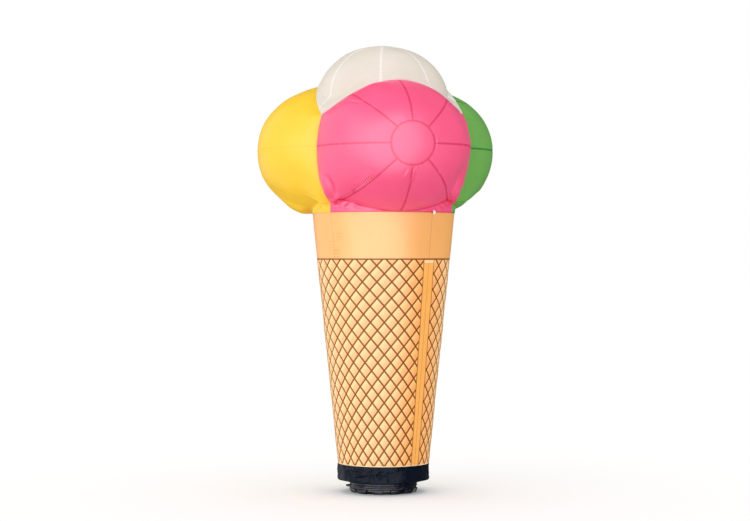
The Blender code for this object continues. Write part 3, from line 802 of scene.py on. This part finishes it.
# By colour: half depth, half width, half height above and below the middle; the angle from the
# pole past which the cloth spreads to its outer seams; a gore's bulge over half its width; a
# seam's depth; and rows of points.  corner_heights are the folds' at the top left, top right,
# bottom right and bottom left corners.  squeeze gives angles round the pole where the ball is
# flatter than an ellipsoid, or fuller where the share is negative, from none to all of it between
# the angles in squeeze_span from the pole.  tugs are by angle the seams that pucker strongly, folds
# run across and up from the ball's middle, and between the angles in fine the columns lie closer.
BALLS = {
    "pink": {
        "halves": (0.519, SCOOP_HALF_WIDTH, 0.440, 0.440), "spread_from": 62.0, "puff": 0.022,
        "groove": 0.0009, "rows": 276, "corner_heights": (0.003, 0.010, 0.010, 0.003),
        "fine": ((109.0, 130.6), (229.6, 252.0)),
        "squeeze_span": (40.0, 75.0),
        "squeeze": (
            (0, 0.015), (30, 0.005), (45, 0.025), (60, 0.072), (78, 0.050), (90, 0.018), (102, 0.056),
            (115, 0.090), (125, 0.080), (140, 0.040), (160, 0.0), (285, 0.0), (300, -0.042), (315, -0.075),
            (335, -0.060), (350, -0.008)),
        # The last number of each tug is how much shade is painted with the seam tint between its pleats.
        "tugs": (
            (225.0, ((1, 0.31, 0.62, 0.0165, 0.0130, 0.034, 1.0),
                     (-1, 0.30, 0.60, 0.018, 0.0012, 0.012, 0.0))),
            (135.0, ((-1, 0.20, 0.54, 0.015, 0.0050, 0.012, 0.3),
                     (1, 0.42, 0.64, 0.017, 0.0060, 0.016, 0.4)))),
        "folds": (
            (-0.478, -0.178, -0.406, -0.338, 0.011, -0.018), (-0.492, -0.205, -0.434, -0.340, 0.009, 0.006),
            (0.408, -0.180, 0.358, -0.320, 0.009, 0.013), (0.482, -0.235, 0.385, -0.338, 0.010, -0.013),
            (0.440, -0.190, 0.385, -0.325, 0.008, 0.007), (-0.365, 0.302, -0.298, 0.272, 0.006, 0.005),
            (-0.345, 0.275, -0.290, 0.262, 0.006, -0.005), (0.014, -0.160, 0.004, -0.265, 0.007, 0.007),
            (-0.020, -0.165, -0.050, -0.230, 0.007, 0.003)),
    },
    "yellow": {
        "halves": (0.536, SCOOP_HALF_WIDTH, 0.440, 0.455), "spread_from": 76.0, "puff": 0.005,
        "groove": 0.0002, "rows": 170, "corner_heights": (0.001, 0.002, 0.003, 0.002),
        "squeeze_span": (25.0, 60.0),
        "squeeze": (
            (125, 0.0), (140, 0.012), (150, 0.010), (158, -0.035), (166, -0.050), (180, -0.035), (200, -0.02),
            (225, 0.0)),
    },
    "green": {
        "halves": (0.501, SCOOP_HALF_WIDTH, 0.424, 0.456), "spread_from": 62.0, "puff": 0.020,
        "groove": 0.0012, "rows": 170, "corner_heights": (0.003, 0.003, 0.006, 0.003),
        "squeeze_span": (30.0, 62.0),
        "squeeze": ((205, 0.0), (218, 0.030), (230, -0.03), (242, -0.02), (255, 0.0)),
    },
}


def top_seam(heading, turn):
    """Where the top scoop is sewn to a lower one: radius and height change with (turn / 60)^2."""
    share = (turn / HALF_SECTOR) ** 2
    radius = TOP_SEAM_RADII[0] + (TOP_SEAM_RADII[1] - TOP_SEAM_RADII[0]) * share
    height = TOP_SEAM_HEIGHTS[0] + (TOP_SEAM_HEIGHTS[1] - TOP_SEAM_HEIGHTS[0]) * share
    return points_at(heading + turn, radius, height)


def side_seam(heading, share):
    """Where two lower scoops are sewn together, from share 0 at the bottom to 1 at the top.

    The radius falls off from the waist by powers of the height, faster below it than above.
    """
    waist, fall_below, fall_above = SIDE_SEAM_SHAPES[heading % 360.0]
    bottom = NECK_SEAM_MIDDLE + NECK_SEAM_RISE - NECK_SEAM_DROP
    top = TOP_SEAM_HEIGHTS[1]
    height = bottom + (top - bottom) * share
    below = np.clip((SIDE_SEAM_WAIST - height) / (SIDE_SEAM_WAIST - bottom), 0.0, 1.0) ** fall_below
    above = np.clip((height - SIDE_SEAM_WAIST) / (top - SIDE_SEAM_WAIST), 0.0, 1.0) ** fall_above
    radius = waist - (waist - COLLAR_TOP_RADIUS) * below - (waist - TOP_SEAM_RADII[1]) * above
    return points_at(heading, radius, height)


def corner_folds(points, corner, inward, outward, seed, height, reach=0.11):
    """Tension folds that run out from a corner of the cloth like the ribs of a fan.

    At the distance r and the direction a from the corner the lift is height times an uneven
    wave of a, times r / reach exp(0.5 - r^2 / reach^2) in place of a sharp point at the corner.
    """
    away = points - corner
    distance = np.linalg.norm(away, axis=-1)
    beside = np.cross(outward, inward)
    angle = np.arctan2(away @ beside, away @ inward)
    phase = np.random.default_rng(seed).uniform(0.0, 2.0 * np.pi, 3)
    wave = (np.cos(13.0 * angle + phase[0]) + 0.7 * np.cos(19.0 * angle + phase[1])
            + 0.5 * np.cos(29.0 * angle + phase[2]))
    return height * wave / 1.5 * (distance / reach) * np.exp(0.5 - (distance / reach) ** 2)


def tugged(run, beside, tugs):
    """Pleats on one side of a seam: each tug is side, start, end, spacing, height, reach and crease.

    beside is the metres past the seam, on the side where the tug's side is positive.  The pleats
    are ridges, cos(x)^4, that start within 7 mm of the seam and shrink as exp(-distance / reach).
    Between them shade is painted with the seam tint, sin(x)^2 times crease, as far as about one reach.
    Returns the lift and the share of painted shade.
    """
    lift, seam_and_shade_tint = 0.0 * run, 0.0 * run
    for side, start, end, spacing, height, reach, crease in tugs:
        away = beside * side
        window = within(start, start + 0.06, end - 0.06, end, run)
        wave = np.pi * run / spacing + 1.3 * np.sin(run / 0.045)
        ridges = (np.cos(wave) ** 4 - 0.37) * smooth(0.0, 0.007, away) * np.exp(-np.abs(away) / reach)
        lift = lift + height * window * ridges
        near = within(-0.002, 0.002, 0.4 * reach, 1.7 * reach, away)
        seam_and_shade_tint = seam_and_shade_tint + crease * window * np.sin(wave) ** 2 * near
    return lift, seam_and_shade_tint


def gored_ball(middle, axes, rim_at, seams, corners, seed, halves, spread_from, puff, groove, rows,
               corner_heights=(0.0035,) * 4, squeeze=((0.0, 0.0),), squeeze_span=(40.0, 75.0),
               tugs=(), folds=(), fine=()):
    """A ball of gores and a round cap, from its cap's pole out to the rim where it meets its neighbours.

    A point t from the pole and at the angle a round it is
    middle + cos(t) depth pole + sin(t) size(a) (cos(a) up + sin(a) side).  The size is half the
    width near the pole, where the cap is round, then the ball's own, less the shares in squeeze,
    and past spread_from it grows or shrinks to reach the rim.  A gore bulges by puff times half
    its width times 2/3 - w^2, for the place w from -1 to 1 across it.
    Returns the points, their distance to a seam, made smaller where the seam tint paints shade in
    pleats and fold furrows, and thread coordinates: across the gore, and along it from the pole.
    """
    pole, side, up = axes
    depth, half_width, half_up, half_down = halves
    more = [np.arange(low, high, FINE_STEP) for low, high in fine]
    columns = crowded(seams, GORE_COLUMNS, GORE_CROWDING, np.concatenate([corners, *more]))
    panel, width, place = across_panels(columns, seams)
    turn = np.radians(columns)
    ahead = side * np.sin(turn)[:, None] + up * np.cos(turn)[:, None]
    half_height = np.where(np.cos(turn) > 0, half_up, half_down)
    own = 1.0 / np.hypot(np.sin(turn) / half_width, np.cos(turn) / half_height)
    rim = rim_at(columns)
    end = np.arccos((rim - middle) @ pole / depth)
    reach = np.einsum("ij,ij->i", rim - middle, ahead) / np.sin(end)
    cap = np.radians(CAP_ANGLE)
    even_rows = rows // 2
    outer_rows = rows - even_rows
    inner = cap * np.arange(1, CAP_ROWS + 1)[:, None] / CAP_ROWS + 0.0 * end
    even = (np.radians(EVEN_ANGLE) - cap) * np.arange(1, even_rows + 1)[:, None] / even_rows
    even = cap + even + 0.0 * end
    outer = even[-1:] + (end - even[-1:]) * np.arange(1, outer_rows + 1)[:, None] / outer_rows
    latitude = np.concatenate([inner, even, outer])
    start = np.minimum(np.radians(spread_from), end - np.radians(SHORTEST_SPREAD))
    spread = np.clip((latitude - start) / (end - start), 0.0, 1.0)
    squeezed = np.interp(columns, *np.array(squeeze).T, period=360.0)
    own = own * (1.0 - squeezed * smooth(*np.radians(squeeze_span), latitude))
    own = half_width + (own - half_width) * smooth(0.6 * cap, 3.0 * cap, latitude)
    size = own + (reach - own) * spread**2 * (3.0 - 2.0 * spread)
    across, out = (size * np.sin(latitude))[..., None], (depth * np.cos(latitude))[..., None]
    points = middle + pole * out + ahead * across
    normal = ahead * (np.sin(latitude) / size)[..., None] + pole * (np.cos(latitude) / depth)[..., None]
    normal /= np.linalg.norm(normal, axis=-1, keepdims=True)

    steps = np.linalg.norm(np.diff(points, axis=0), axis=-1)
    first = np.linalg.norm(points[:1] - (middle + pole * depth), axis=-1)
    run = np.cumsum(np.concatenate([first, steps]), axis=0)
    half_gore = np.radians(width) / 2.0 * size * np.sin(latitude)
    from_seam = (1.0 - np.abs(place)) * half_gore
    from_cap = np.abs(run - run[CAP_ROWS - 1])
    from_rim = run[-1] - run
    seam = (panel + (place > 0)) % len(seams)
    gored = smooth(0.55 * cap, 1.6 * cap, latitude)
    outside = smooth(0.95 * cap, 1.1 * cap, latitude)

    # Each gore's bulge, a groove at every seam, puckers beside it that grow towards the rim, spokes
    # round the cap, a broad unevenness and the corners' folds.
    lift = puff * half_gore * (2.0 / 3.0 - place**2) * gored * (1.0 - spread**2)
    along_seam, along_cap = (np.exp(-((away / GROOVE_WIDTH) ** 2)) for away in (from_seam, from_cap))
    lift -= groove * (along_seam * outside + along_cap)
    tight = outside * (1.0 + RIM_PUCKERS * np.exp(-from_rim / 0.07))
    lift += gathered(run, from_seam, seam, seed) * tight
    radial = np.cos(26.0 * turn + 3.0 * np.sin(3.0 * turn + seed))
    radial = radial * (0.4 + 0.6 * np.cos(2.0 * turn + seed) ** 2)
    lift += CAP_PUCKER * radial * outside * np.exp(-from_cap / 0.045)
    lift += UNEVENNESS * uneven(points, 0.20, 0.60, seed) * (1.0 - np.exp(-run / 0.1))
    for number, corner_angle in enumerate(corners):
        corner = rim[np.abs(wrapped(columns - corner_angle)).argmin()]
        outward = corner - middle
        outward = outward / np.linalg.norm(outward)
        inward = middle + pole * depth * 0.6 - corner
        inward = inward - outward * (inward @ outward)
        inward = inward / np.linalg.norm(inward)
        lift += corner_folds(points, corner, inward, outward, seed + 7 * number, corner_heights[number])
    near = np.minimum(np.where(latitude > cap * 0.999, from_seam, 1.0), from_cap)
    # Painted shade: in the tugged pleats' valleys and along the folds' furrows the seam distance is lowered,
    # so that the seam tint darkens them.
    for angle, strengths in tugs:
        turned = np.radians(wrapped(columns - angle))
        pleats, seam_and_shade_tint = tugged(run, turned * size * np.sin(latitude), strengths)
        lift += pleats
        near = np.where(seam_and_shade_tint > 0.02, np.minimum(near, CREASE_SHADE_REACH - CREASE_SHADE_REACH * seam_and_shade_tint), near)
    if folds:
        folded = fold_lines((points - middle) @ side, (points - middle) @ up, folds)
        lift += folded
        near = np.minimum(near, CREASE_SHADE_REACH - 0.2 * np.clip(-folded, 0.0, 0.020))
    points = points + normal * (lift * smooth(0.0, 0.012, from_rim))[..., None]

    right_place = np.append(columns[1:], columns[0] + 360.0)
    right_place = place + 2.0 * (right_place - columns) / width
    right_half = np.roll(half_gore, -1, axis=1)
    cloth = (place * half_gore, run, right_place * right_half, np.roll(run, -1, axis=1))
    return points, near, cloth


for number, (colour, heading) in enumerate(SCOOP_HEADINGS.items()):
    pole, side, up = level(heading), level(heading + 90.0), upright(1.0)
    middle = pole * SCOOP_OFFSET + up * SCOOP_HEIGHT
    turn = np.linspace(-HALF_SECTOR, HALF_SECTOR, LINE_POINTS)
    share = np.linspace(0.0, 1.0, LINE_POINTS // 2)
    outline = np.concatenate([
        top_seam(heading, turn), side_seam(heading + HALF_SECTOR, share[::-1]),
        neck_seam(heading, turn[::-1]), side_seam(heading - HALF_SECTOR, share)])
    angle = np.degrees(np.arctan2((outline - middle) @ side, (outline - middle) @ up))
    right_bottom, left_bottom = LINE_POINTS * 3 // 2, LINE_POINTS * 5 // 2 - 1
    corners = angle[[0, LINE_POINTS - 1, right_bottom, left_bottom]] % 360.0

    def rim_at(angles):
        """The rim's points at these angles round the pole, between the nearest of the outline's."""
        return np.stack([np.interp(angles, angle, part, period=360.0) for part in outline.T], axis=-1)

    grid, near, cloth = gored_ball(middle, (pole, side, up), rim_at, np.arange(0.0, 360.0, GORE_ANGLE),
                                   corners, 41 + number, **BALLS[colour])
    shift = pole * GAP / 2 / np.sin(np.radians(HALF_SECTOR)) + upright(GAP)
    scoop = skin("scoop_cloth_" + colour, grid + shift, middle + pole * BALLS[colour]["halves"][0] + shift,
                 upright(SCOOP_INSIDE) + shift, numbers={"seam": near}, maps={"cloth": cloth}, crease=70.0)
    fit(scoop, scoop_nylon[colour], "scoop_" + colour)

# ------------------------------------------------------------------------------------------
# Top scoop.  A white ball of the same make with its cap on top.  Its cloth runs down at three
# corners between the lower scoops.

TOP_HEIGHT = 2.6321
TOP_HALF_WIDTH = 0.441
TOP_HALF_HEIGHT = 0.3640
TOP_SEAMS = (-64.5, -15.0, 32.0, 75.3, 118.7, 162.0, 205.3, 248.7)
TOP_BALL = {
    "halves": (TOP_HALF_HEIGHT, TOP_HALF_WIDTH, TOP_HALF_WIDTH, TOP_HALF_WIDTH), "spread_from": 86.0,
    "puff": 0.012, "groove": 0.0012, "rows": 170,
}
TOP_CORNERS = (60.0, 180.0, 300.0)
TOP_INSIDE = 2.345              # where the faces under the scoop meet the axis
TOP_ASIDE = (77.0, 0.005)       # its middle lies off the axis, away from this heading by this much


def top_rim_at(angles):
    """The top scoop's rim at these headings: the seam of whichever lower scoop lies there."""
    turn = wrapped(angles, HALF_SECTOR)
    return top_seam(angles - turn, turn)


middle = upright(TOP_HEIGHT) - level(TOP_ASIDE[0]) * TOP_ASIDE[1]
axes = (upright(1.0), level(90.0), level(0.0))
grid, near, cloth = gored_ball(middle, axes, top_rim_at, np.array(TOP_SEAMS), np.array(TOP_CORNERS), 61,
                               **TOP_BALL)
shift = upright(2 * GAP)
scoop = skin("scoop_cloth_white", grid + shift, middle + upright(TOP_HALF_HEIGHT) + shift,
             upright(TOP_INSIDE) + shift, numbers={"seam": near}, maps={"cloth": cloth}, crease=70.0)
fit(scoop, scoop_nylon["white"], "scoop_white")

# ------------------------------------------------------------------------------------------
# Tie loop.  A short white webbing tape, folded over and caught in the top of the collar's
# right-hand seam, for a tether line.

LOOP_HEADING = 30.0
LOOP_WIDTH = 0.021
LOOP_HALF = 0.0125              # how far it stands out, and half its height
LOOP_SQUASH = 1.02              # its height is divided by this
LOOP_START = 0.0015             # its two ends' distance from the collar
TAPE_THICKNESS = 0.0016
WARP_SCALE = 160.0              # stripes 2 mm apart
RIB_SCALE = 300.0               # ribs 1 mm apart

turns = np.linspace(0.0, 2.0 * np.pi, 24, endpoint=False)
share = np.linspace(0.0, 1.0, 40)
swing = np.pi * (share - 0.5)
out = LOOP_START + LOOP_HALF * np.cos(swing)
rise = LOOP_HALF * np.sin(swing) / LOOP_SQUASH
beside = level(LOOP_HEADING + 90.0)
path = points_at(LOOP_HEADING, COLLAR_TOP_RADIUS + out, COLLAR_TOP + rise)
along = np.gradient(path, axis=0)
along /= np.linalg.norm(along, axis=1, keepdims=True)
across = np.cross(beside, along)
# The tape's section is a squared ellipse: its cosine and sine are taken to the powers 0.35 and 0.6.
edge_u = np.sign(np.cos(turns)) * np.abs(np.cos(turns)) ** 0.35 * LOOP_WIDTH / 2
edge_v = np.sign(np.sin(turns)) * np.abs(np.sin(turns)) ** 0.6 * TAPE_THICKNESS / 2
grid = path[:, None] + beside * edge_u[:, None] + across[:, None] * edge_v[:, None]


def webbing_colour(surface, place):
    """Off-white polyester with the faint stripes of its warp."""
    warp = add_node(surface, "TexWave", {"bands_direction": "X", "Scale": WARP_SCALE, "Vector": place})
    return add_node(surface, "Mix", {"data_type": "RGBA", 6: linear("#FFFFFF"), 7: linear("#E9E7E2"),
                    0: warp.outputs["Fac"]}).outputs[2]


def webbing_relief(surface, place):
    """Ribs of the woven tape, about a millimetre apart."""
    rib = add_node(surface, "TexWave", {"bands_direction": "Z", "Scale": RIB_SCALE, "Vector": place})
    return add_node(surface, "Bump", {"Strength": 0.3, "Distance": 0.0004,
                    "Height": rib.outputs["Fac"]}).outputs["Normal"]


# Polyester webbing: matt and bright.
white_webbing = new_material("white_polyester_webbing", webbing_colour, webbing_relief, roughness=0.7)
tether_loop = skin("tether_loop", grid, path[0], path[-1], crease=60.0)
fit(tether_loop, white_webbing, "tie_loop")

# ------------------------------------------------------------------------------------------
# Floor, light and camera.  A pale studio floor under an even white surround, one broad soft
# light from the left at the object's own height, two windows that only the gloss shows, and a
# camera at standing eye level.

SURROUND = 1.15                 # seen by matt surfaces
GLOSS_SURROUND = 0.10           # seen by glossy ones: the studio is darker away from the window
CAMERA_HEADING = -13.0
CAMERA_DISTANCE = 13.48
CAMERA_HEIGHT = 1.5913
LENS = 96.0
SHIFT = (-0.0112, -0.0073)
KEY_ELEVATION = 4.0
FAR = 80.0                      # the floor's edge
LAMPS = (                       # name, heading, strength, spread, and whether only gloss shows it
    ("key_light", -50.0, 0.5, 60.0, False),
    ("window_front", -25.0, 5.2, 110.0, True),
    ("window_side", -112.0, 1.6, 95.0, True),
)
FLOOR_LIFT = 0.08               # the camera sees the grey floor this much brighter, nearly white

floor_sheet = bpy.data.meshes.new("studio_floor")
floor_sheet.from_pydata([(-FAR, -FAR, 0), (FAR, -FAR, 0), (FAR, FAR, 0), (-FAR, FAR, 0)], [], [(0, 1, 2, 3)])
floor = bpy.data.objects.new("studio_floor", floor_sheet)
bpy.context.scene.collection.objects.link(floor)
paint = bpy.data.materials.new("white_floor_paint")
paint.use_nodes = True
shader = paint.node_tree.nodes["Principled BSDF"]
shader.inputs["Roughness"].default_value = 0.9
shader.inputs["Specular IOR Level"].default_value = 0.0
shader.inputs["Emission Color"].default_value = (1.0, 1.0, 1.0, 1.0)
rays = add_node(paint, "LightPath").outputs
lift = add_node(paint, "Math", {"operation": "MULTIPLY", 1: FLOOR_LIFT, 0: rays["Is Camera Ray"]}).outputs[0]
paint.node_tree.links.new(lift, shader.inputs["Emission Strength"])
shader.inputs["Base Color"].default_value = linear("#E8E8E8")
floor_sheet.materials.append(paint)
floor.visible_glossy = floor.visible_shadow = False     # the gloss also shows the window below the horizon

scene = bpy.context.scene
scene.view_settings.view_transform = "Standard"
world = scene.world = bpy.data.worlds.new("white_surround")
world.use_nodes = True
rays = add_node(world, "LightPath").outputs
unseen = add_node(world, "MapRange", {
    "To Min": SURROUND, "To Max": GLOSS_SURROUND, "Value": rays["Is Glossy Ray"]}).outputs["Result"]
strength = add_node(world, "MapRange", {"To Min": unseen, "Value": rays["Is Camera Ray"]}).outputs["Result"]
background = world.node_tree.nodes["Background"].inputs
background["Color"].default_value = (1.0, 1.0, 1.0, 1.0)
world.node_tree.links.new(strength, background["Strength"])

for name, heading, energy, spread, is_gloss in LAMPS:
    disc = bpy.data.lights.new(name, "SUN")
    disc.energy, disc.angle = energy, np.radians(spread)
    lamp = bpy.data.objects.new(name, disc)
    lamp.matrix_world = (Matrix.Rotation(np.radians(heading), 4, "Z")
                         @ Matrix.Rotation(np.radians(90.0 - KEY_ELEVATION), 4, "X"))
    lamp.visible_diffuse, lamp.visible_glossy = not is_gloss, is_gloss
    scene.collection.objects.link(lamp)

lens = bpy.data.cameras.new("camera")
lens.lens = LENS
lens.shift_x, lens.shift_y = SHIFT
camera = bpy.data.objects.new("camera", lens)
camera.matrix_world = (Matrix.Translation(level(CAMERA_HEADING) * CAMERA_DISTANCE + upright(CAMERA_HEIGHT))
                       @ Matrix.Rotation(np.radians(CAMERA_HEADING), 4, "Z")
                       @ Matrix.Rotation(np.radians(90.0), 4, "X"))
scene.collection.objects.link(camera)
scene.camera = camera
